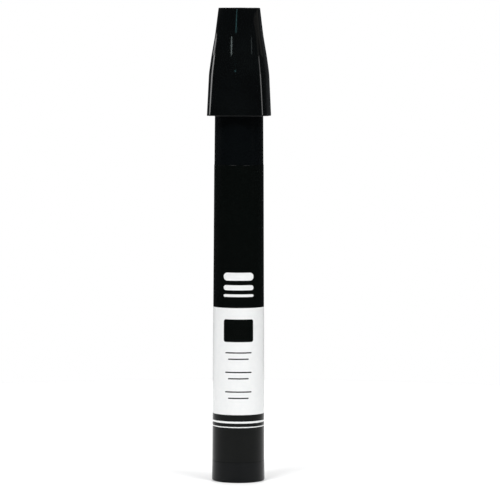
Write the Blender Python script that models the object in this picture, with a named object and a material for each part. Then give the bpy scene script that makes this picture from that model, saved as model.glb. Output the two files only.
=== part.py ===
import math

import bmesh
import bpy

# ---------------------------------------------------------------- dimensions
# All driving dimensions are in millimetres, +Z runs up the marker's axis and
# the marker stands on z = 0.
MM = 0.001
SEG = 48                       # facets round the axis, shared by every piece
STEP = 2.0 * math.pi / SEG
QUAD = SEG // 4

TOTAL_H = 150.0                # top of the cap
CAP_RIM_Z = 116.0              # lower edge of the cap
LABEL_Z0 = 6.46                # lower and upper edge of the label film
LABEL_Z1 = 100.45

# barrel
FOOT_R = 8.40                  # outside radius just above the foot
FOOT_EDGE = 0.5                # rounding of the foot's outer edge
LIP_TOP_R = 8.31               # bare lip where the label starts
NECK_LOW_R = 7.775             # bare neck where the label ends
NECK_RIM_R = 7.665             # bare neck at the cap's rim
SHOULDER_R = 7.63              # neck just below the front shoulder
SHOULDER_Z = 122.0
FRONT_BORE_R = 5.9
FRONT_BORE_Z = 112.0           # step inside the barrel
BORE_FOOT_R = 7.05
BORE_TOP_R = 6.55
RIB_R = 6.02                   # crest of the six ribs that centre the ink rod
RIB_EVERY = 8
RIB_Z0 = 14.0
RIB_Z1 = 106.0

# label film
FILM_R_FOOT = 8.33             # film outside radius at z = 0, on its slope
FILM_SLOPE = 0.0048
FILM_T = 0.08
FILM_GAP = 0.03

# plug, ink rod, sleeve
PLUG_R = 6.95
PLUG_Z0 = 0.3
PLUG_Z1 = 9.0
PLUG_CUP_R = 4.6
PLUG_FLOOR = 1.7
ROD_R = 5.6
ROD_Z0 = 9.4
ROD_Z1 = 110.6
SLEEVE_R0 = 5.68
SLEEVE_R1 = 5.84

# nib and its holder
NIB_HALF_W = 3.6
NIB_HALF_T = 2.5
NIB_CORNER = 1.4
NIB_FIT = 0.08                 # gap all round the nib in its slot
TANG_Z0 = 98.0
TANG_TOP = 112.4
TANG_HALF_W = 2.6
TANG_HALF_T = 1.8
NIB_FLANK_Z = 133.2            # the wedge starts here
NIB_TIP_Z = 138.5              # high corner of the slanted edge
NIB_TIP_DROP = 2.1
NIB_EDGE_HALF_T = 0.7
HOLDER_R = 5.85
HOLDER_Z0 = 113.2
FLANGE_R = 6.3
FLANGE_T = 1.5
NOZZLE_LOW_R = 5.15
NOZZLE_TOP_R = 4.75
NOZZLE_TOP_Z = 131.0

# cap, outside: half widths at the stations of its outline
CAP_TOP_R = 6.57
CAP_WAIST_Z, CAP_WAIST_R = 141.2, 7.65
CAP_FLARE_Z, CAP_FLARE_R = 134.9, 8.75
CAP_SKIRT_Z, CAP_SKIRT_R = 129.3, 9.54
CAP_RIM_R = 10.17
CAP_TURN = math.radians(-50.0)  # first corner, from the front (-Y) towards +X
CAP_SHARP_TOP = 0.2            # corner distance over corner radius
CAP_SHARP_WAIST = 1.75
CAP_SHARP_FLARE = 1.4
CAP_SHARP_SKIRT = 1.3
CAP_SHARP_RIM = 2.2
CAP_CORNER_TOP = math.radians(37.0)  # half the turn of a corner's rounding
CAP_CORNER_RIM = math.radians(34.5)
CAP_TOP_EDGE = 0.15
CAP_RIM_EDGE = 0.12
# cap, inside
CAP_MOUTH_R0 = 7.86
CAP_MOUTH_R1 = 7.80
CAP_LEDGE_Z = 122.4
CAP_CAVITY_R0 = 6.95
CAP_CAVITY_R1 = 5.75
CAP_CEILING_Z = 148.4
# liner
LINER_GAP = 0.1
LINER_Z0 = 123.8
LINER_LIP_R = 5.28
LINER_LIP_Z = 126.2
LINER_IN_R0 = 5.5
LINER_IN_R1 = 4.95
LINER_ROOF_Z = 147.4


# ------------------------------------------------------------------- helpers
def at(radius, azimuth, z):
    return (radius * math.sin(azimuth), -radius * math.cos(azimuth), z)


def azimuths():
    start = CAP_TURN - 3 * STEP
    return [start + i * STEP for i in range(SEG)]


def circle(radius, z):
    return [at(radius, a, z) for a in azimuths()]


def ribbed(radius, crest, z):
    return [at(crest if i % RIB_EVERY == 3 else radius, a, z)
            for i, a in enumerate(azimuths())]


def rounded_rect(half_x, half_y, corner, z, per_corner=QUAD):
    # same winding and the same first corner as the round rings
    signs = [(-1, -1), (1, -1), (1, 1), (-1, 1)]
    ring = []
    for k, (sx, sy) in enumerate(signs):
        cx, cy = sx * (half_x - corner), sy * (half_y - corner)
        for j in range(per_corner):
            a = -0.5 * math.pi + 0.5 * math.pi * (k + j / (per_corner - 1))
            ring.append((cx + corner * math.sin(a), cy - corner * math.cos(a), z))
    return ring


def lerp(a, b, t):
    return a + (b - a) * t


def along(z, z0, v0, z1, v1):
    return lerp(v0, v1, (z - z0) / (z1 - z0))


def new_node(name, rings, material, hollow, origin_z=0.0, sharp=35.0):
    """Joins neighbouring rings. A hollow body closes last ring to first."""
    bm = bmesh.new()
    rows = [[bm.verts.new((x * MM, y * MM, (z - origin_z) * MM)) for x, y, z in ring]
            for ring in rings]
    pairs = list(zip(rows, rows[1:]))
    if hollow:
        pairs.append((rows[-1], rows[0]))
    for low, high in pairs:
        n = len(low)
        for i in range(n):
            j = (i + 1) % n
            bm.faces.new((low[i], low[j], high[j], high[i]))
    if not hollow:
        for row in (rows[0], rows[-1]):
            mid = [sum(v.co[k] for v in row) / len(row) for k in range(3)]
            hub = bm.verts.new(mid)
            for i in range(len(row)):
                bm.faces.new((row[i], row[(i + 1) % len(row)], hub))
    bmesh.ops.remove_doubles(bm, verts=bm.verts, dist=1e-7)
    bmesh.ops.recalc_face_normals(bm, faces=bm.faces)
    mesh = bpy.data.meshes.new(name)
    bm.to_mesh(mesh)
    bm.free()
    obj = bpy.data.objects.new(name, mesh)
    obj.location = (0.0, 0.0, origin_z * MM)
    bpy.context.scene.collection.objects.link(obj)
    mesh.shade_smooth()
    mesh.set_sharp_from_angle(angle=math.radians(sharp))
    mesh.materials.append(material)
    return obj


def material(name, colour, roughness, metallic=0.0, alpha=1.0):
    mat = bpy.data.materials.new(name)
    mat.use_nodes = True
    shader = mat.node_tree.nodes["Principled BSDF"]
    shader.inputs["Base Color"].default_value = (*colour, 1.0)
    shader.inputs["Roughness"].default_value = roughness
    shader.inputs["Metallic"].default_value = metallic
    shader.inputs["Alpha"].default_value = alpha
    return mat


# -------------------------------------------------------------- cap outline
def cap_half_width(z):
    stations = [(CAP_RIM_Z, CAP_RIM_R), (CAP_SKIRT_Z, CAP_SKIRT_R),
                (CAP_FLARE_Z, CAP_FLARE_R), (CAP_WAIST_Z, CAP_WAIST_R),
                (TOTAL_H, CAP_TOP_R)]

    def straight(h):
        for (z0, r0), (z1, r1) in zip(stations, stations[1:]):
            if h <= z1:
                return along(h, z0, r0, z1, r1)
        (z0, r0), (z1, r1) = stations[-2:]
        return along(h, z0, r0, z1, r1)

    reach = 0.9                # rounds the outline where it bends
    return (straight(z - reach) + 2.0 * straight(z) + straight(z + reach)) / 4.0


def cap_sharpness(z):
    def straight(h):
        if h >= CAP_WAIST_Z:
            return along(h, CAP_WAIST_Z, CAP_SHARP_WAIST, TOTAL_H, CAP_SHARP_TOP)
        if h >= CAP_FLARE_Z:
            return along(h, CAP_FLARE_Z, CAP_SHARP_FLARE, CAP_WAIST_Z, CAP_SHARP_WAIST)
        if h >= CAP_SKIRT_Z:
            return along(h, CAP_SKIRT_Z, CAP_SHARP_SKIRT, CAP_FLARE_Z, CAP_SHARP_FLARE)
        return along(h, CAP_RIM_Z, CAP_SHARP_RIM, CAP_SKIRT_Z, CAP_SHARP_SKIRT)

    reach = 0.9
    return (straight(z - reach) + 2.0 * straight(z) + straight(z + reach)) / 4.0


def cap_ring(z, inset=0.0):
    """Four corner arcs joined by bowed sides, scaled to the half width."""
    q = cap_sharpness(z)
    span = along(z, CAP_RIM_Z, CAP_CORNER_RIM, TOTAL_H, CAP_CORNER_TOP)
    points = []
    for k in range(4):
        c = CAP_TURN + k * 0.5 * math.pi
        ux, uy = math.sin(c), -math.cos(c)
        for j in range(7):
            a = c + span * (j - 3) / 3.0
            points.append((q * ux + math.sin(a), q * uy - math.cos(a)))
        # bowed side, tangent to both of its corner arcs
        half_turn = 0.25 * math.pi - span
        mid = c + 0.25 * math.pi
        mx, my = math.sin(mid), -math.cos(mid)
        tx, ty = math.cos(mid), math.sin(mid)
        half_chord = q * math.sin(0.25 * math.pi) + math.sin(half_turn)
        height = q * math.cos(0.25 * math.pi) + math.cos(half_turn)
        bow = half_chord / math.sin(half_turn)
        for j in range(1, 6):
            s = half_turn * (j - 3) / 3.0
            out = height + bow * (math.cos(s) - math.cos(half_turn))
            points.append((out * mx + bow * math.sin(s) * tx,
                           out * my + bow * math.sin(s) * ty))
    wide = max(p[0] for p in points)
    scale = (cap_half_width(z) - inset) / wide
    return [(x * scale, y * scale, z) for x, y in points]


# -------------------------------------------------------------------- pieces
def build_barrel(mat):
    def recess(z):
        return FILM_R_FOOT - FILM_SLOPE * z - FILM_T - FILM_GAP

    z0, z1 = LABEL_Z0 - 0.03, LABEL_Z1 + 0.03
    rings = [circle(FOOT_R - FOOT_EDGE, 0.0)]
    for j in range(1, 4):
        a = 0.5 * math.pi * j / 3.0
        rings.append(circle(FOOT_R - FOOT_EDGE * (1.0 - math.sin(a)),
                            FOOT_EDGE * (1.0 - math.cos(a))))
    rings += [circle(LIP_TOP_R, z0), circle(recess(z0), z0),
              circle(recess(z1), z1), circle(NECK_LOW_R, z1),
              circle(NECK_RIM_R, CAP_RIM_Z), circle(SHOULDER_R, SHOULDER_Z - 0.5),
              circle(SHOULDER_R - 0.45, SHOULDER_Z),
              circle(FRONT_BORE_R, SHOULDER_Z),
              circle(FRONT_BORE_R, FRONT_BORE_Z)]

    def bore(z):
        return along(z, 0.0, BORE_FOOT_R, FRONT_BORE_Z, BORE_TOP_R)

    rings += [circle(bore(FRONT_BORE_Z), FRONT_BORE_Z),
              circle(bore(RIB_Z1 + 2.0), RIB_Z1 + 2.0),
              ribbed(bore(RIB_Z1), RIB_R, RIB_Z1),
              ribbed(bore(RIB_Z0), RIB_R, RIB_Z0),
              circle(bore(RIB_Z0 - 2.5), RIB_Z0 - 2.5),
              circle(bore(0.0), 0.35), circle(bore(0.0) + 0.3, 0.0)]
    return new_node("barrel", rings, mat, True)


def build_label(mat):
    def out(z):
        return FILM_R_FOOT - FILM_SLOPE * z

    rings = []
    for r_off, z in ((0.0, LABEL_Z0), (0.0, LABEL_Z1),
                     (-FILM_T, LABEL_Z1), (-FILM_T, LABEL_Z0)):
        rings.append(circle(out(z) + r_off, z))
    return new_node("label_wrap", rings, mat, True)


def build_plug(mat):
    rings = [circle(PLUG_R - 0.4, PLUG_Z0), circle(PLUG_R, PLUG_Z0 + 0.4),
             circle(PLUG_R - 0.03, PLUG_Z1 - 0.6), circle(PLUG_R - 0.5, PLUG_Z1),
             circle(PLUG_CUP_R + 0.2, PLUG_Z1), circle(PLUG_CUP_R, PLUG_Z1 - 0.3),
             circle(PLUG_CUP_R - 0.1, PLUG_Z0 + PLUG_FLOOR)]
    return new_node("end_plug", rings, mat, False)


def build_rod(mat):
    rings = [circle(ROD_R, ROD_Z0), circle(ROD_R, ROD_Z1),
             rounded_rect(TANG_HALF_W + 0.1, TANG_HALF_T + 0.1, 1.0, ROD_Z1),
             rounded_rect(TANG_HALF_W - 0.1, TANG_HALF_T - 0.3, 1.0, TANG_Z0 - 0.4)]
    return new_node("ink_reservoir", rings, mat, False)


def build_sleeve(mat):
    rings = [circle(SLEEVE_R1, ROD_Z0), circle(SLEEVE_R1, ROD_Z1),
             circle(SLEEVE_R0, ROD_Z1), circle(SLEEVE_R0, ROD_Z0)]
    return new_node("reservoir_wrapper", rings, mat, True)


def build_holder(mat):
    seat = SHOULDER_Z + 0.03
    top = seat + FLANGE_T
    hx, hy, hc = NIB_HALF_W + NIB_FIT, NIB_HALF_T + NIB_FIT, NIB_CORNER + NIB_FIT
    rings = [circle(HOLDER_R - 0.5, HOLDER_Z0), circle(HOLDER_R, HOLDER_Z0 + 0.8),
             circle(HOLDER_R, seat), circle(FLANGE_R, seat),
             circle(FLANGE_R, top - 0.3), circle(FLANGE_R - 0.3, top),
             circle(NOZZLE_LOW_R, top), circle(NOZZLE_TOP_R + 0.05, NOZZLE_TOP_Z - 0.5),
             circle(NOZZLE_TOP_R - 0.3, NOZZLE_TOP_Z),
             rounded_rect(hx, hy, hc, NOZZLE_TOP_Z),
             rounded_rect(hx, hy, hc, HOLDER_Z0)]
    return new_node("nib_holder", rings, mat, True)


def build_nib(mat):
    n = 6
    rings = [rounded_rect(TANG_HALF_W - 1.0, TANG_HALF_T - 1.0, 0.5, TANG_Z0, n),
             rounded_rect(TANG_HALF_W - 0.2, TANG_HALF_T - 0.4, 0.9, TANG_Z0 + 1.6, n),
             rounded_rect(TANG_HALF_W, TANG_HALF_T, 1.0, TANG_TOP - 1.2, n),
             rounded_rect(NIB_HALF_W, NIB_HALF_T, NIB_CORNER, TANG_TOP, n),
             rounded_rect(NIB_HALF_W, NIB_HALF_T, NIB_CORNER, NIB_FLANK_Z, n)]

    def slanted(half_x, half_y, corner, drop):
        ring = rounded_rect(half_x, half_y, corner, 0.0, n)
        return [(x, y, NIB_TIP_Z - drop - NIB_TIP_DROP * (0.5 + 0.5 * x / NIB_HALF_W))
                for x, y, _ in ring]

    rings += [slanted(NIB_HALF_W - 0.02, NIB_EDGE_HALF_T + 0.12, NIB_EDGE_HALF_T, 0.45),
              slanted(NIB_HALF_W - 0.4, NIB_EDGE_HALF_T - 0.25, NIB_EDGE_HALF_T - 0.3, 0.0)]
    return new_node("nib", rings, mat, False)


def build_cap(mat):
    heights = [CAP_RIM_Z + CAP_RIM_EDGE, 119.0, 122.5, 126.0, 128.3, 129.6, 131.2,
               133.0, 135.0, 137.0, 138.8, 140.3, 141.6, 143.4, 146.5]
    rings = [cap_ring(CAP_RIM_Z, CAP_RIM_EDGE)]
    rings += [cap_ring(z) for z in heights]
    for j in range(4):
        a = 0.5 * math.pi * j / 3.0
        rings.append(cap_ring(TOTAL_H - CAP_TOP_EDGE * (1.0 - math.sin(a)),
                              CAP_TOP_EDGE * (1.0 - math.cos(a))))
    outer = rings[::-1]
    inner = [circle(CAP_MOUTH_R0 + 0.25, CAP_RIM_Z), circle(CAP_MOUTH_R0, CAP_RIM_Z + 0.3),
             circle(CAP_MOUTH_R1, CAP_LEDGE_Z), circle(CAP_CAVITY_R0, CAP_LEDGE_Z + 0.2),
             circle(CAP_CAVITY_R1, CAP_CEILING_Z)]
    return new_node("cap_shell", outer + inner, mat, False, CAP_RIM_Z)


def build_liner(mat):
    def cavity(z):
        return along(z, CAP_LEDGE_Z + 0.2, CAP_CAVITY_R0, CAP_CEILING_Z, CAP_CAVITY_R1)

    top = CAP_CEILING_Z - LINER_GAP
    rings = [circle(cavity(top) - LINER_GAP - 0.3, top),
             circle(cavity(top - 0.4) - LINER_GAP, top - 0.4),
             circle(cavity(LINER_Z0) - LINER_GAP, LINER_Z0),
             circle(LINER_LIP_R + 0.15, LINER_Z0),
             circle(LINER_LIP_R, LINER_Z0 + 0.3),
             circle(LINER_LIP_R, LINER_LIP_Z),
             circle(LINER_IN_R0, LINER_LIP_Z + 0.8),
             circle(LINER_IN_R1 + 0.05, LINER_ROOF_Z - 0.6),
             circle(LINER_IN_R1 - 0.5, LINER_ROOF_Z)]
    return new_node("cap_liner", rings, mat, False, CAP_RIM_Z)


def main():
    for obj in list(bpy.data.objects):
        bpy.data.objects.remove(obj, do_unlink=True)
    build_barrel(material("barrel_black", (0.012, 0.013, 0.016), 0.42))
    build_label(material("label_film", (0.014, 0.014, 0.014), 0.35))
    build_plug(material("plug_black", (0.015, 0.015, 0.017), 0.5))
    build_rod(material("ink_fibre", (0.03, 0.03, 0.035), 0.95))
    build_sleeve(material("sleeve_film", (0.75, 0.76, 0.78), 0.3))
    build_holder(material("holder_black", (0.016, 0.016, 0.018), 0.45))
    build_nib(material("nib_felt", (0.02, 0.02, 0.022), 0.9))
    build_cap(material("cap_black", (0.010, 0.010, 0.011), 0.2))
    build_liner(material("liner_natural", (0.78, 0.79, 0.80), 0.4))


main()
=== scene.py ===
import math

import bmesh
import bpy
import numpy as np
from mathutils import Matrix, Vector, noise


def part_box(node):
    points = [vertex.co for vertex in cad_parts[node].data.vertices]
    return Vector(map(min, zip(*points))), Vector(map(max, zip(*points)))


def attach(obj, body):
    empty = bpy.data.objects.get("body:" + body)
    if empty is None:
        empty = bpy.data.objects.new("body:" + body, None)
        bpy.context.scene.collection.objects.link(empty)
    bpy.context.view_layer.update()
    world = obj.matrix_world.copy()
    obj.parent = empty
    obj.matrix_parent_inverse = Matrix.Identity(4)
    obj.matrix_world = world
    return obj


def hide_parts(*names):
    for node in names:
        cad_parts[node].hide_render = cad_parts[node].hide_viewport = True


MM = 0.001
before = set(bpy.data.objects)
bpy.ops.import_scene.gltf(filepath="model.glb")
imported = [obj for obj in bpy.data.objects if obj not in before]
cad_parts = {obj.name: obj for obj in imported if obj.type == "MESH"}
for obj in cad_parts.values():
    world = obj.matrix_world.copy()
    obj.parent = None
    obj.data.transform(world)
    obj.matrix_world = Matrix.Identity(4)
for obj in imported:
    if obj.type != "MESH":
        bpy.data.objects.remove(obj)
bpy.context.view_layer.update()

# ------------------------------------------------------------------ sizes, mm
RIM_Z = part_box("cap_shell")[0][2] / MM
TOP_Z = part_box("cap_shell")[1][2] / MM
FILM_Z0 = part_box("label_wrap")[0][2] / MM
FILM_Z1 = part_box("label_wrap")[1][2] / MM
PANEL_Z0, PANEL_Z1 = 21.59, 55.47

CAP_STATIONS = [(RIM_Z, 10.17), (129.3, 9.54), (134.9, 8.75), (141.2, 7.65), (TOP_Z, 6.57)]
CAP_TURN = math.radians(-50.0)


def lerp(a, b, t):
    return a + (b - a) * t


def along(z, z0, v0, z1, v1):
    return lerp(v0, v1, (z - z0) / (z1 - z0))


def smooth(t):
    t = max(0.0, min(1.0, t))
    return t * t * (3.0 - 2.0 * t)


# --------------------------------------------------------------- mesh helpers
def make(name, verts, faces, sharp=40.0, uvs=None):
    """verts in millimetres; uvs is one (u, v) per vertex, in millimetres."""
    mesh = bpy.data.meshes.new(name)
    mesh.from_pydata([(x * MM, y * MM, z * MM) for x, y, z in verts], [], faces)
    if uvs is not None:
        layer = mesh.uv_layers.new(name="print")
        for loop in mesh.loops:
            layer.data[loop.index].uv = uvs[loop.vertex_index]
    bm = bmesh.new()
    bm.from_mesh(mesh)
    if uvs is None:
        bmesh.ops.remove_doubles(bm, verts=bm.verts, dist=1e-7)
    bmesh.ops.delete(bm, geom=[v for v in bm.verts if not v.link_faces], context="VERTS")
    bmesh.ops.recalc_face_normals(bm, faces=bm.faces)
    bm.to_mesh(mesh)
    bm.free()
    obj = bpy.data.objects.new(name, mesh)
    bpy.context.scene.collection.objects.link(obj)
    mesh.shade_smooth()
    mesh.set_sharp_from_angle(angle=math.radians(sharp))
    return obj


def loft(name, rings, hollow, sharp=40.0, cap_rings=True):
    """Closed body through rings of equal length."""
    n = len(rings[0])
    verts = [p for ring in rings for p in ring]
    faces = []
    rows = len(rings)
    for r in range(rows if hollow else rows - 1):
        a, b = r * n, ((r + 1) % rows) * n
        for i in range(n):
            j = (i + 1) % n
            faces.append((a + i, a + j, b + j, b + i))
    if not hollow:
        for r in (0, rows - 1):
            ring = rings[r]
            hub = tuple(sum(p[k] for p in ring) / n for k in range(3))
            h = len(verts)
            verts.append(hub)
            for i in range(n):
                faces.append((r * n + i, r * n + (i + 1) % n, h))
    return make(name, verts, faces, sharp)


def ring(radius, z, n=192):
    """radius is a number or a function of the azimuth from the front (-Y) towards +X."""
    out = []
    for i in range(n):
        a = CAP_TURN + 2.0 * math.pi * i / n
        r = radius(a) if callable(radius) else radius
        out.append((r * math.sin(a), -r * math.cos(a), z))
    return out


def fillet(r_from, z_from, r_to, z_to, steps, start):
    """Quarter-round stations between two points; start 'r' leaves along the radius."""
    out = []
    for j in range(steps + 1):
        t = 0.5 * math.pi * j / steps
        if start == "r":
            out.append((lerp(r_from, r_to, math.sin(t)), lerp(z_from, z_to, 1.0 - math.cos(t))))
        else:
            out.append((lerp(r_from, r_to, 1.0 - math.cos(t)), lerp(z_from, z_to, math.sin(t))))
    return out


def rounded_rect(half_x, half_y, corner, z, n=96):
    per = n // 4
    pts = []
    for k, (sx, sy) in enumerate(((-1, -1), (1, -1), (1, 1), (-1, 1))):
        cx, cy = sx * (half_x - corner), sy * (half_y - corner)
        for j in range(per):
            a = -0.5 * math.pi + 0.5 * math.pi * (k + j / (per - 1))
            pts.append((cx + corner * math.sin(a), cy - corner * math.cos(a), z))
    return pts


def rect_ring(half_x, half_y, corner, z, n=96):
    """Rounded rectangle with its points spread evenly along the outline."""
    fine = rounded_rect(half_x, half_y, corner, 0.0, 160)
    pts = np.array(fine + fine[:1])[:, :2]
    run = np.concatenate([[0.0], np.cumsum(np.linalg.norm(np.diff(pts, axis=0), axis=1))])
    want = np.linspace(0.0, run[-1], n, endpoint=False)
    xs, ys = np.interp(want, run, pts[:, 0]), np.interp(want, run, pts[:, 1])
    zs = z if callable(z) else (lambda x, y: z)
    return [(float(x), float(y), float(zs(x, y))) for x, y in zip(xs, ys)]


# ------------------------------------------------------------ material helpers
class Nodes:
    def __init__(self, name):
        self.mat = bpy.data.materials.new(name)
        self.mat.use_nodes = True
        self.tree = self.mat.node_tree
        self.shader = self.tree.nodes["Principled BSDF"]

    def new(self, kind, **props):
        node = self.tree.nodes.new(kind)
        for key, value in props.items():
            setattr(node, key, value)
        return node

    def put(self, socket, value):
        if hasattr(value, "is_output"):
            self.tree.links.new(value, socket)
        else:
            socket.default_value = value

    def math(self, op, a, b=None, c=None, clamp=False):
        node = self.new("ShaderNodeMath", operation=op, use_clamp=clamp)
        for socket, value in zip(node.inputs, (a, b, c)):
            if value is not None:
                self.put(socket, value)
        return node.outputs[0]

    def coords(self):
        return self.new("ShaderNodeTexCoord").outputs["Object"]

    def stretched(self, scale):
        node = self.new("ShaderNodeMapping")
        self.put(node.inputs["Vector"], self.coords())
        node.inputs["Scale"].default_value = scale
        return node.outputs[0]

    def noise(self, scale, detail=3.0, rough=0.5, vector=None):
        node = self.new("ShaderNodeTexNoise")
        self.put(node.inputs["Vector"], vector if vector is not None else self.coords())
        node.inputs["Scale"].default_value = scale
        node.inputs["Detail"].default_value = detail
        node.inputs["Roughness"].default_value = rough
        return node.outputs[0]

    def remap(self, value, a, b, lo, hi):
        node = self.new("ShaderNodeMapRange")
        self.put(node.inputs[0], value)
        for i, v in zip((1, 2, 3, 4), (a, b, lo, hi)):
            self.put(node.inputs[i], v)
        return node.outputs[0]

    def mix(self, factor, a, b):
        node = self.new("ShaderNodeMix", data_type="RGBA")
        self.put(node.inputs[0], factor)
        self.put(node.inputs[6], a)
        self.put(node.inputs[7], b)
        return node.outputs[2]

    def bump(self, height, strength, distance, normal=None):
        node = self.new("ShaderNodeBump")
        node.inputs["Strength"].default_value = strength
        node.inputs["Distance"].default_value = distance
        self.put(node.inputs["Height"], height)
        if normal is not None:
            self.put(node.inputs["Normal"], normal)
        return node.outputs[0]

    def set(self, **values):
        for key, value in values.items():
            self.put(self.shader.inputs[key.replace("_", " ")], value)


def rgb(r, g, b):
    return (r, g, b, 1.0)


def plastic(name, low, high, rough, spread, grain, grain_depth, streak=0.0):
    """Moulded plastic: faint colour drift, fine skin texture, uneven polish."""
    m = Nodes(name)
    drift = m.noise(90.0, 3.0)
    m.set(Base_Color=m.mix(m.remap(drift, 0.35, 0.65, 0.0, 1.0), rgb(*low), rgb(*high)))
    polish = m.noise(420.0, 4.0, 0.6)
    rub = m.noise(1.0, 5.0, 0.6, m.stretched((2600.0, 2600.0, 110.0)))
    uneven = m.math("ADD", m.math("MULTIPLY", polish, 0.6), m.math("MULTIPLY", rub, 0.4))
    m.set(Roughness=m.remap(uneven, 0.3, 0.7, rough - spread, rough + spread))
    skin = m.bump(m.noise(grain, 2.0, 0.5), 0.35, grain_depth)
    if streak:
        skin = m.bump(rub, 0.25, streak, skin)
    m.set(Normal=skin)
    return m


# --------------------------------------------------------------------- cap
def cap_half_width(z):
    def straight(h):
        for (z0, r0), (z1, r1) in zip(CAP_STATIONS, CAP_STATIONS[1:]):
            if h <= z1:
                return along(h, z0, r0, z1, r1)
        (z0, r0), (z1, r1) = CAP_STATIONS[-2:]
        return along(h, z0, r0, z1, r1)

    total = 0.0
    for k in range(-4, 5):
        total += straight(z + 0.32 * k) * (5 - abs(k))
    return total / 25.0


def cap_sharpness(z):
    """Corner distance over corner radius: soft at the top, crisp at the waist and at the rim."""
    skirt, hip, waist = (CAP_STATIONS[k][0] for k in (1, 2, 3))

    def raw(h):
        if h >= waist:
            return along(h, waist, 1.75, TOP_Z, 0.2)
        if h >= hip:
            return along(h, hip, 1.4, waist, 1.75)
        if h >= skirt:
            return along(h, skirt, 1.3, hip, 1.4)
        return along(h, RIM_Z, 2.2, skirt, 1.3)

    return sum(raw(z + 0.45 * k) for k in range(-2, 3)) / 5.0


def cap_section(z, inset=0.0, arc=26, side=22):
    q = cap_sharpness(z)
    span = math.radians(along(z, RIM_Z, 34.5, TOP_Z, 37.0))
    half_turn = 0.25 * math.pi - span
    pts = []
    for k in range(4):
        c = CAP_TURN + k * 0.5 * math.pi
        for j in range(arc):
            a = c + span * (2.0 * j / (arc - 1) - 1.0)
            pts.append((q * math.sin(c) + math.sin(a), -q * math.cos(c) - math.cos(a)))
        mid = c + 0.25 * math.pi
        mx, my, tx, ty = math.sin(mid), -math.cos(mid), math.cos(mid), math.sin(mid)
        chord = q * math.sin(0.25 * math.pi) + math.sin(half_turn)
        height = q * math.cos(0.25 * math.pi) + math.cos(half_turn)
        bow = chord / math.sin(half_turn)
        for j in range(1, side + 1):
            s = half_turn * (2.0 * j / (side + 1) - 1.0)
            out = height + bow * (math.cos(s) - math.cos(half_turn))
            pts.append((out * mx + bow * math.sin(s) * tx, out * my + bow * math.sin(s) * ty))
    scale = (cap_half_width(z) - inset) / max(p[0] for p in pts)
    return [(x * scale, y * scale, z) for x, y in pts]


def build_cap():
    edge, top_edge = 0.1, 0.09
    rings = []
    # gate dimple and flat top, then the rounded top edge
    for r, z in ((0.25, TOP_Z - 0.12), (0.5, TOP_Z - 0.12), (0.58, TOP_Z - 0.12)):
        rings.append(ring(r, z))
    for j in range(1, 9):
        t = math.pi * j / 8
        rings.append(ring(0.6 + 0.05 * (1.0 - math.cos(t)) * 1.4, TOP_Z - 0.06 * (1.0 + math.cos(t))))
    for r in (0.76, 0.84, 3.0, 5.4):
        rings.append(ring(r, TOP_Z))
    for j in range(9):
        t = 0.5 * math.pi * j / 8
        rings.append(cap_section(TOP_Z - top_edge * (1.0 - math.cos(t)), top_edge * (1.0 - math.sin(t))))
    for z in np.linspace(TOP_Z - top_edge, RIM_Z + edge, 96)[1:]:
        rings.append(cap_section(float(z)))
    for j in range(1, 7):
        t = 0.5 * math.pi * j / 6
        rings.append(cap_section(RIM_Z + edge * (1.0 - math.sin(t)), edge * (1.0 - math.cos(t))))

    # mouth with low grip ribs, ledge, tapered cavity
    def mouth(z, lift):
        base = along(z, RIM_Z, 7.86, 122.4, 7.80)
        return lambda a: base - lift * max(0.0, math.cos(8.0 * a)) ** 24

    for r, z in fillet(8.12, RIM_Z, 7.87, RIM_Z + 0.3, 4, "r"):
        rings.append(ring(r, z))
    for z, lift in ((RIM_Z + 1.2, 0.0), (RIM_Z + 2.0, 0.10), (120.5, 0.10), (121.6, 0.0), (122.4, 0.0)):
        rings.append(ring(mouth(z, lift), z))
    rings.append(ring(7.1, 122.4))
    rings.append(ring(6.95, 122.6))
    for k in range(1, 7):
        z = lerp(122.6, 148.2, k / 6)
        rings.append(ring(along(z, 122.6, 6.95, 148.4, 5.75), z))
    rings.append(ring(5.5, 148.4))
    return loft("cap_outer_shell", rings, False, 50.0)


def build_liner():
    def cavity(z):
        return along(z, 122.6, 6.95, 148.4, 5.75)

    rings = [ring(1.0, 148.3, 96), ring(cavity(148.3) - 0.42, 148.3, 96)]
    for z in (148.1, 147.9, 147.0, 142.0, 136.0, 130.0, 125.0, 124.1):
        rings.append(ring(cavity(z) - 0.1 - (0.15 if z > 148.0 else 0.0), z, 96))
    rings.append(ring(cavity(123.8) - 0.25, 123.8, 96))
    for r, z in ((5.62, 123.8), (5.46, 123.86), (5.34, 124.0), (5.29, 124.25), (5.28, 124.7), (5.30, 125.2),
                 (5.28, 125.7), (5.31, 126.3), (5.42, 126.8), (5.5, 127.2)):
        rings.append(ring(r, z, 96))
    for z in (130.0, 134.0, 138.0, 142.0, 145.5, 146.6):
        rings.append(ring(along(z, 127.2, 5.5, 147.4, 4.95), z, 96))
    rings += [ring(4.86, 147.05, 96), ring(4.66, 147.3, 96), ring(4.4, 147.4, 96), ring(1.2, 147.4, 96),
              ring(0.9, 147.2, 96)]
    return loft("cap_seal_cup", rings, False, 50.0)


# ------------------------------------------------------------------- barrel
def film_out(z):
    return 8.33 - 0.0048 * z


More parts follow.
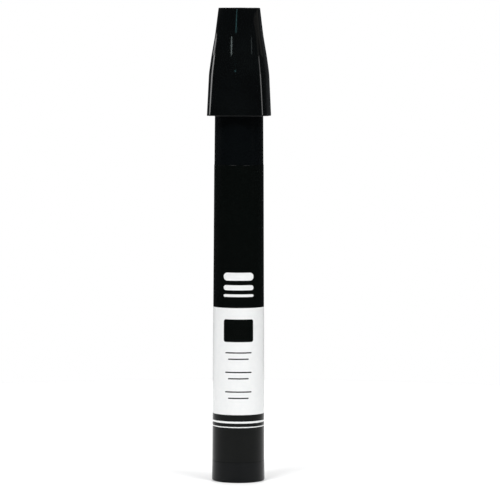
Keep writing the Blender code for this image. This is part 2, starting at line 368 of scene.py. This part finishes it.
def build_barrel():
    def bore(z):
        return along(z, 0.0, 7.05, 112.0, 6.55)

    stations = [(7.35, 0.0), (7.55, 0.0)]
    stations += fillet(7.90, 0.0, 8.40, 0.5, 10, "r")
    z0, z1 = FILM_Z0 - 0.03, FILM_Z1 + 0.03
    for k in range(1, 6):
        z = lerp(0.5, z0 - 0.06, k / 5)
        stations.append((along(z, 0.5, 8.40, z0, 8.31), z))
    stations += [(8.3095, z0 - 0.004), (8.308, z0), (film_out(z0) - 0.11, z0 + 0.005)]
    for k in range(1, 12):
        z = lerp(z0, z1, k / 12)
        stations.append((film_out(z) - 0.11, z))
    stations += [(film_out(z1) - 0.11, z1 - 0.005), (7.75, z1), (7.77, z1 + 0.02), (7.7745, z1 + 0.035),
                 (7.7748, z1 + 0.06)]
    for k in range(1, 13):
        z = lerp(z1, 118.2, k / 12)
        stations.append((along(z, z1, 7.775, 116.0, 7.665), z))
    # click bead under the cap
    for k in range(1, 12):
        t = k / 12
        z = lerp(118.2, 120.2, t)
        stations.append((along(z, 116.0, 7.665, 121.5, 7.63) + 0.085 * math.sin(math.pi * t) ** 2, z))
    stations += [(7.63, 120.9), (7.63, 121.3)]
    stations += [(7.63 - 0.45 * (1.0 - math.cos(0.5 * math.pi * k / 6)),
                  121.55 + 0.45 * math.sin(0.5 * math.pi * k / 6)) for k in range(7)]
    stations += [(6.6, 122.0), (6.05, 122.0), (5.93, 121.95), (5.9, 121.8), (5.9, 112.0), (bore(112.0), 112.0)]
    rings = [ring(r, z) for r, z in stations]

    def ribs(z):
        base = bore(z)
        return lambda a: base - (base - 6.02) * max(0.0, math.cos(3.0 * (a - CAP_TURN - math.radians(0.0)))) ** 40

    rings += [ring(bore(108.0), 108.0), ring(ribs(106.0), 106.0), ring(ribs(60.0), 60.0), ring(ribs(14.0), 14.0),
              ring(bore(11.5), 11.5), ring(7.05, 0.5), ring(7.09, 0.2), ring(7.2, 0.05)]
    return loft("barrel_tube", rings, True, 50.0)


def build_film():
    """Printed film: one turn round the barrel with a short overlap at the back."""
    n = 360
    lap = math.radians(26.0)
    ramp = math.radians(7.0)
    cols = [-math.pi + 2.0 * math.pi * i / n for i in range(n + 1)]

    def lift(a):
        t = (a - (math.pi - lap)) / ramp
        return 0.055 * smooth(t)

    edge = 0.035
    bend = [(0.0, edge), (0.0015, edge - 0.004), (0.0145, 0.004), (0.016, 0.0)]
    profile = [(-0.08, FILM_Z0 + 0.004)] + [(-d, FILM_Z0 + h) for d, h in reversed(bend)] + [(0.0, FILM_Z0 + edge + 0.02)]
    heights = list(np.linspace(FILM_Z0 + edge + 0.02, FILM_Z1 - edge - 0.02, 80))[1:-1]
    profile += [(0.0, float(z)) for z in heights]
    profile += [(0.0, FILM_Z1 - edge - 0.02)] + [(-d, FILM_Z1 - h) for d, h in bend] + [(-0.08, FILM_Z1 - 0.004)]
    rows = len(profile)
    verts, uvs, faces = [], [], []
    for d, z in profile:
        for a in cols:
            r = film_out(z) + d + lift(a) * (0.0 if d <= -0.08 else 1.0)
            # the film lies a little uneven over the tube
            r += 0.006 * noise.noise(Vector((math.sin(a) * 3.0, math.cos(a) * 3.0, z * 0.09)))
            verts.append((r * math.sin(a), -r * math.cos(a), z))
            uvs.append((a * 8.03, z))

    def at(row, i):
        # the inner side closes on itself, the outer side ends in the overlap's step
        return row * (n + 1) + (0 if i == n and profile[row][0] <= -0.08 else i)

    for r in range(rows):
        s = (r + 1) % rows
        for i in range(n):
            faces.append((at(r, i), at(r, i + 1), at(s, i + 1), at(s, i)))
    # radial end faces of the overlap, joined into one step
    for r in range(rows):
        s = (r + 1) % rows
        step = list(dict.fromkeys((at(r, n), at(r, 0), at(s, 0), at(s, n))))
        if len(step) > 2:
            faces.append(tuple(step))
    return make("label_print_film", verts, faces, 30.0, uvs)


def build_plug():
    stations = [(0.35, 0.52), (0.7, 0.5), (0.85, 0.38), (1.05, 0.36), (2.6, 0.34), (4.4, 0.32), (4.55, 0.34),
                (4.65, 0.5), (4.85, 0.55), (5.05, 0.5), (5.15, 0.34), (5.3, 0.31), (6.3, 0.3)]
    stations += fillet(6.55, 0.3, 6.95, 0.7, 6, "r")
    stations += [(6.94, 4.5), (6.92, 8.4), (6.8, 8.7), (6.45, 9.0), (4.8, 9.0), (4.65, 8.9), (4.6, 8.7), (4.5, 2.3),
                 (4.2, 2.0), (2.0, 2.0)]
    return loft("foot_plug", [ring(r, z, 128) for r, z in stations], False, 50.0)


# -------------------------------------------------------------- nib and collar
def build_holder():
    n = 96
    seat, top = 122.03, 123.53

    def vented(r, depth):
        # two shallow air grooves across the flange
        return lambda a: r - depth * max(0.0, math.cos(a - math.pi / 2.0) ** 2) ** 60

    out = [ring(5.35, 113.2, n), ring(5.7, 113.6, n), ring(5.85, 114.1, n), ring(5.85, seat, n)]
    out += [ring(6.2, seat, n), ring(vented(6.3, 0.25), seat + 0.12, n), ring(vented(6.3, 0.25), top - 0.35, n),
            ring(vented(6.24, 0.25), top - 0.12, n), ring(vented(6.06, 0.2), top, n)]
    out += [ring(vented(5.42, 0.12), top, n), ring(5.24, top + 0.08, n), ring(5.165, top + 0.2, n),
            ring(5.145, top + 0.32, n), ring(5.138, top + 0.5, n)]
    # two turned lines on the nozzle
    for z in (125.4, 127.9):
        r = along(z, top, 5.15, 131.0, 4.78)
        for dz, dr in ((-0.32, 0.013), (-0.22, 0.009), (-0.18, -0.01), (-0.13, -0.066), (-0.09, -0.075), (0.09, -0.079),
                       (0.13, -0.07), (0.18, -0.018), (0.22, -0.009), (0.32, -0.013)):
            out.append(ring(r + dr, z + dz, n))
    for r, z in fillet(4.8, 130.45, 4.38, 131.0, 6, "z"):
        out.append(ring(r, z, n))
    inner = [rounded_rect(3.78, 2.68, 1.56, 131.0, n), rounded_rect(3.68, 2.58, 1.48, 130.7, n),
             rounded_rect(3.68, 2.58, 1.48, 113.2, n)]
    return loft("nib_collar", out + inner, True, 45.0)


def build_nib():
    n = 120
    tip, drop, half = 138.5, 2.1, 3.6
    rings = [rect_ring(0.6, 0.25, 0.2, 98.0, n), rect_ring(1.6, 0.8, 0.5, 98.05, n), rect_ring(2.4, 1.4, 0.9, 99.6, n),
             rect_ring(2.6, 1.8, 1.0, 104.0, n), rect_ring(2.6, 1.8, 1.0, 111.2, n), rect_ring(3.6, 2.5, 1.4, 112.4, n)]
    for k in range(1, 8):
        rings.append(rect_ring(3.6, 2.5, 1.4, lerp(112.4, 130.0, k / 7), n))
    for k in range(1, 9):
        rings.append(rect_ring(3.6, 2.5, 1.4, lerp(130.0, 133.2, k / 8), n))

    def slant(back):
        return lambda x, y: tip - back - drop * (0.5 + 0.5 * x / half)

    # wedge flanks up to the slanted writing edge
    for k in range(1, 25):
        t = k / 24
        ht = lerp(2.5, 0.82, t ** 0.92)
        cr = min(lerp(1.4, 0.7, t), ht - 0.02)

        def z_at(x, y, t=t):
            return lerp(133.2, tip - 0.45 - drop * (0.5 + 0.5 * x / half), t)

        rings.append(rect_ring(lerp(3.6, 3.58, t), ht, cr, z_at, n))
    for k in range(1, 9):
        t = 0.5 * math.pi * k / 8
        rings.append(rect_ring(3.58 - 0.42 * (1.0 - math.cos(t)), 0.82 - 0.66 * (1.0 - math.cos(t)),
                               max(0.14, 0.7 - 0.56 * (1.0 - math.cos(t))), slant(0.45 * (1.0 - math.sin(t))), n))
    rings.append(rect_ring(2.0, 0.08, 0.07, slant(0.0), n))
    # felt: fibre bundles run along the nib and the tip is softened by use
    felt = []
    for row in rings:
        out = []
        for x, y, z in row:
            if z > 131.0:
                f = min(1.0, (z - 131.0) / 1.2)
                k = noise.noise(Vector((x * 5.0, y * 5.0, z * 0.55))) * 0.035
                k += noise.noise(Vector((x * 1.7, y * 1.7, z * 1.3 + 7.0))) * 0.03
                d = math.hypot(x, y) or 1.0
                x, y = x + f * k * x / d, y + f * k * y / d
                z = min(138.49, z + f * 0.05 * noise.noise(Vector((x * 3.1, y * 3.1, 3.0))))
            out.append((x, y, z))
        felt.append(out)
    return loft("felt_nib", felt, False, 60.0)


# ---------------------------------------------------------------- materials
def mat_cap():
    return plastic("cap_gloss_black", (0.0010, 0.0014, 0.0015), (0.0018, 0.0025, 0.0026), 0.062, 0.014,
                   1500.0, 0.000002, 0.0000012)


def mat_barrel():
    m = plastic("barrel_satin_black", (0.0019, 0.0026, 0.0030), (0.0024, 0.0033, 0.0037), 0.14, 0.03,
                2600.0, 0.000012, 0.000004)
    m.shader.inputs["Specular IOR Level"].default_value = 0.12
    return m


def mat_film():
    m = Nodes("label_print")
    uv = m.new("ShaderNodeUVMap", uv_map="print").outputs[0]
    split = m.new("ShaderNodeSeparateXYZ")
    m.put(split.inputs[0], uv)
    # a hair of print wobble keeps the ink edges from being ruler-straight
    wob = m.noise(1800.0, 2.0)
    u = m.math("ADD", split.outputs[0], m.math("MULTIPLY", m.math("SUBTRACT", wob, 0.5), 0.05))
    v = m.math("ADD", split.outputs[1], m.math("MULTIPLY", m.math("SUBTRACT", wob, 0.5), 0.05))

    def soft(distance, reach=0.035):
        return m.remap(distance, -reach, reach, 1.0, 0.0)

    def band(z0, z1):
        mid, half = 0.5 * (z0 + z1), 0.5 * (z1 - z0)
        return soft(m.math("SUBTRACT", m.math("ABSOLUTE", m.math("SUBTRACT", v, mid)), half))

    def box(cu, cv, hu, hv, r):
        du = m.math("SUBTRACT", m.math("ABSOLUTE", m.math("SUBTRACT", u, cu)), hu - r)
        dv = m.math("SUBTRACT", m.math("ABSOLUTE", m.math("SUBTRACT", v, cv)), hv - r)
        du0, dv0 = m.math("MAXIMUM", du, 0.0), m.math("MAXIMUM", dv, 0.0)
        far = m.math("SQRT", m.math("ADD", m.math("MULTIPLY", du0, du0), m.math("MULTIPLY", dv0, dv0)))
        near = m.math("MINIMUM", m.math("MAXIMUM", du, dv), 0.0)
        return soft(m.math("SUBTRACT", m.math("ADD", far, near), r))

    def join(parts):
        out = parts[0]
        for p in parts[1:]:
            out = m.math("MAXIMUM", out, p)
        return out

    panel = band(PANEL_Z0, PANEL_Z1)
    strokes = [box(0.0, z, 5.0, h, h) for z, h in ((65.4, 1.25), (61.9, 0.8), (59.4, 0.42))]
    rings = [band(18.9, 19.5), band(17.5, 17.8)]
    light = join([panel] + strokes + rings)
    dark = [box(0.0, 48.3, 4.9, 3.6, 0.7)]
    dark += [box(0.0, z, w, 0.2, 0.2) for z, w in ((41.3, 4.3), (39.3, 3.3), (35.1, 4.3), (33.1, 3.3), (28.9, 4.3),
                                                  (26.9, 3.3))]
    white = m.math("MULTIPLY", light, m.math("SUBTRACT", 1.0, join(dark)))
    speck = m.noise(700.0, 4.0, 0.6)
    paper = m.mix(m.remap(speck, 0.35, 0.7, 0.0, 1.0), rgb(0.83, 0.84, 0.84), rgb(0.86, 0.865, 0.86))
    # cut edge of the film where it laps over itself at the back
    cut = m.remap(u, 25.02, 25.14, 0.0, 0.6)
    paper = m.mix(cut, paper, rgb(0.36, 0.37, 0.37))
    ink = m.mix(m.remap(speck, 0.35, 0.7, 0.0, 1.0), rgb(0.0018, 0.0025, 0.0022), rgb(0.0023, 0.0031, 0.0027))
    m.set(Base_Color=m.mix(white, ink, paper))
    gloss = m.noise(260.0, 4.0, 0.6)
    m.set(Roughness=m.math("ADD", m.remap(gloss, 0.3, 0.7, 0.12, 0.17), m.math("MULTIPLY", white, 0.1)))
    wave = m.bump(m.noise(220.0, 2.0), 0.2, 0.00002)
    m.set(Normal=m.bump(white, 0.25, 0.000006, wave))
    m.shader.inputs["Specular IOR Level"].default_value = 0.12
    return m


def mat_felt(name, low, high, coarse=1.0):
    m = Nodes(name)
    fibre = m.noise(1.0, 5.0, 0.65, m.stretched((5200.0 * coarse, 5200.0 * coarse, 420.0 * coarse)))
    bundle = m.noise(1.0, 3.0, 0.55, m.stretched((1500.0 * coarse, 1500.0 * coarse, 130.0 * coarse)))
    blot = m.noise(330.0, 3.0)
    tone = m.math("ADD", m.math("MULTIPLY", fibre, 0.4),
                  m.math("ADD", m.math("MULTIPLY", bundle, 0.4), m.math("MULTIPLY", blot, 0.2)))
    m.set(Base_Color=m.mix(m.remap(tone, 0.3, 0.7, 0.0, 1.0), rgb(*low), rgb(*high)))
    m.set(Roughness=m.remap(fibre, 0.3, 0.7, 0.75, 0.95))
    m.set(Normal=m.bump(fibre, 0.8, 0.00005, m.bump(bundle, 0.6, 0.00012)))
    m.shader.inputs["Sheen Weight"].default_value = 0.07
    m.shader.inputs["Sheen Roughness"].default_value = 0.5
    return m


def mat_liner():
    m = Nodes("liner_natural")
    haze = m.noise(150.0, 4.0)
    m.set(Base_Color=m.mix(m.remap(haze, 0.3, 0.7, 0.0, 1.0), rgb(0.70, 0.71, 0.70), rgb(0.80, 0.81, 0.80)))
    m.set(Roughness=m.remap(m.noise(900.0, 3.0), 0.3, 0.7, 0.34, 0.46))
    m.set(Normal=m.bump(m.noise(1200.0, 2.0), 0.3, 0.000008))
    m.shader.inputs["Subsurface Weight"].default_value = 0.35
    m.shader.inputs["Subsurface Radius"].default_value = (0.0012, 0.0012, 0.0011)
    m.shader.inputs["Subsurface Scale"].default_value = 1.0
    return m


def mat_sleeve():
    m = Nodes("sleeve_film")
    crease = m.noise(1.0, 4.0, 0.6, m.stretched((500.0, 500.0, 60.0)))
    m.set(Base_Color=m.mix(m.remap(crease, 0.3, 0.7, 0.0, 1.0), rgb(0.66, 0.68, 0.72), rgb(0.80, 0.81, 0.83)))
    m.set(Roughness=m.remap(crease, 0.3, 0.7, 0.22, 0.36))
    m.set(Normal=m.bump(crease, 0.3, 0.00004))
    return m


def dress(obj, m, body, slot, *nodes):
    obj.data.materials.clear()
    obj.data.materials.append(m.mat)
    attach(obj, body)
    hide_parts(*nodes)


dress(build_cap(), mat_cap(), "cap", "cap_plastic", "cap_shell")
dress(build_liner(), mat_liner(), "cap", "liner_plastic", "cap_liner")
dress(build_barrel(), mat_barrel(), "barrel", "barrel_plastic", "barrel")
dress(build_film(), mat_film(), "barrel", "label_film", "label_wrap")
dress(build_plug(), plastic("plug_black", (0.004, 0.004, 0.0046), (0.0065, 0.0065, 0.0072), 0.5, 0.06, 2200.0, 0.000012),
      "barrel", "plug_plastic", "end_plug")
dress(build_holder(), plastic("collar_black", (0.004, 0.004, 0.0046), (0.0065, 0.0065, 0.0072), 0.36, 0.06, 2200.0,
                              0.00001), "barrel", "holder_plastic", "nib_holder")
dress(build_nib(), mat_felt("nib_felt", (0.003, 0.003, 0.0036), (0.017, 0.017, 0.019)), "barrel", "nib_felt", "nib")
for node, m in (("ink_reservoir", mat_felt("rod_fibre", (0.006, 0.006, 0.008), (0.02, 0.02, 0.024), 0.7)),
                ("reservoir_wrapper", mat_sleeve())):
    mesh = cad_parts[node].data
    mesh.materials.clear()
    mesh.materials.append(m.mat)


# ------------------------------------------------------------------- stage
def build_floor():
    """Plain pale disc under the object."""
    verts, faces = [], []
    radii = [0.0, 0.02, 0.06, 0.12, 0.2, 0.3]
    n = 96
    for r in radii[1:]:
        for i in range(n):
            a = 2.0 * math.pi * i / n
            verts.append((r * 1000 * math.sin(a), -r * 1000 * math.cos(a), -0.02))
    hub = len(verts)
    verts.append((0.0, 0.0, -0.02))
    for i in range(n):
        faces.append((i, (i + 1) % n, hub))
    for k in range(len(radii) - 2):
        for i in range(n):
            j = (i + 1) % n
            faces.append((k * n + i, k * n + j, (k + 1) * n + j, (k + 1) * n + i))
    obj = make("floor", verts, faces)
    m = Nodes("floor_pale")
    m.set(Roughness=0.8)
    m.shader.inputs["Base Color"].default_value = rgb(0.9, 0.9, 0.9)
    m.shader.inputs["Specular IOR Level"].default_value = 0.0
    obj.data.materials.append(m.mat)


build_floor()

world = bpy.data.worlds.new("studio")
bpy.context.scene.world = world
world.use_nodes = True
tree = world.node_tree
tree.nodes.clear()
out = tree.nodes.new("ShaderNodeOutputWorld")
seen = tree.nodes.new("ShaderNodeBackground")
seen.inputs[0].default_value = (1.0, 1.0, 1.0, 1.0)
seen.inputs[1].default_value = 1.0
room = tree.nodes.new("ShaderNodeBackground")
room.inputs[0].default_value = (0.9, 0.95, 1.0, 1.0)
room.inputs[1].default_value = 0.045
path = tree.nodes.new("ShaderNodeLightPath")
pick = tree.nodes.new("ShaderNodeMixShader")
tree.links.new(path.outputs["Is Camera Ray"], pick.inputs[0])
tree.links.new(room.outputs[0], pick.inputs[1])
tree.links.new(seen.outputs[0], pick.inputs[2])
tree.links.new(pick.outputs[0], out.inputs[0])


def softbox(name, azimuth, elevation, distance, size_x, size_y, watts, aim=(0.0, 0.0, 0.09), colour=(1, 1, 1)):
    """Area light placed by its direction from the aim point; azimuth from -Y towards +X."""
    a, e = math.radians(azimuth), math.radians(elevation)
    aim = Vector(aim)
    place = aim + distance * Vector((math.sin(a) * math.cos(e), -math.cos(a) * math.cos(e), math.sin(e)))
    light = bpy.data.lights.new(name, "AREA")
    light.shape = "RECTANGLE"
    light.size, light.size_y = size_x, size_y
    light.energy = watts
    light.color = colour
    obj = bpy.data.objects.new(name, light)
    obj.location = place
    obj.rotation_euler = (aim - place).to_track_quat("-Z", "Y").to_euler()
    bpy.context.scene.collection.objects.link(obj)
    return obj


def panel(name, azimuth, elevation, wide, tall, radiance, tilt=0.0, colour=(1, 1, 1), distance=1.2, oval=False):
    """Flat panel that fills a window of directions, in degrees, seen from the cap."""
    a, e, t = math.radians(azimuth), math.radians(elevation), math.radians(tilt)
    out = Vector((math.sin(a) * math.cos(e), -math.cos(a) * math.cos(e), math.sin(e)))
    side = Vector((math.cos(a), math.sin(a), 0.0))
    up = Vector((-math.sin(a) * math.sin(e), math.cos(a) * math.sin(e), math.cos(e)))
    x = side * math.cos(t) + up * math.sin(t)
    y = out.cross(x)
    size_x = 2.0 * distance * math.tan(math.radians(0.5 * wide)) * math.cos(e)
    size_y = 2.0 * distance * math.tan(math.radians(0.5 * tall))
    light = bpy.data.lights.new(name, "AREA")
    light.shape = "ELLIPSE" if oval else "RECTANGLE"
    light.size, light.size_y = size_x, size_y
    light.energy = radiance * math.pi * size_x * size_y * (0.25 * math.pi if oval else 1.0)
    light.color = colour
    obj = bpy.data.objects.new(name, light)
    turn = Matrix((x, y, out)).transposed().to_4x4()
    obj.matrix_world = Matrix.Translation(Vector((0.0, 0.0, 0.127)) + distance * out) @ turn
    bpy.context.scene.collection.objects.link(obj)


softbox("key_left", -34.0, 48.0, 1.0, 0.46, 0.34, 6.4)
softbox("key_right", 44.0, 48.0, 1.0, 0.46, 0.34, 5.6)
softbox("back_fill", 180.0, 48.0, 1.0, 0.5, 0.4, 4.6)
softbox("fill_left", -100.0, 50.0, 1.2, 1.0, 0.7, 2.8)
softbox("fill_right", 100.0, 50.0, 1.2, 1.0, 0.7, 2.5)
# low panels either side, for the corners of the cap
panel("side_left", -105.8, 7.15, 16.5, 9.0, 3.6, 10.0)
panel("side_left_high", -120.0, 10.7, 26.0, 1.8, 2.1, 8.8)
panel("side_right_low", 69.8, 6.4, 8.0, 7.4, 3.4)
panel("side_right", 69.8, 12.65, 8.0, 5.0, 1.8)
panel("side_right_dim", 78.0, 19.9, 34.0, 8.0, 0.11, 0.0, (1.0, 0.97, 0.85))
panel("side_right_rear", 110.0, 15.0, 30.0, 8.0, 0.11, -10.0, (1.0, 0.97, 0.85))
# slim lamps in front
panel("front_slim", -17.3, 20.2, 0.75, 4.0, 6.0, 0.0, (0.85, 1.0, 1.0), oval=True)
panel("front_cool", -11.8, 14.1, 1.2, 1.6, 1.8, 0.0, (0.36, 0.92, 1.0))
panel("front_small", 8.9, 20.4, 0.9, 2.8, 1.6, 0.0, (0.85, 1.0, 1.0), oval=True)

# --------------------------------------------------------------------- camera
cam = bpy.data.cameras.new("camera")
cam.sensor_fit = "HORIZONTAL"
cam.sensor_width = 36.0
cam.lens = 223.4
cam.clip_start = 0.05
cam_obj = bpy.data.objects.new("camera", cam)
bpy.context.scene.collection.objects.link(cam_obj)
cam_obj.location = (0.00341, -0.98305, 0.1352)
cam_obj.rotation_euler = (math.radians(90.0 - 3.599), math.radians(-0.15), 0.0)
bpy.context.scene.camera = cam_obj
bpy.context.scene.view_settings.view_transform = "Standard"
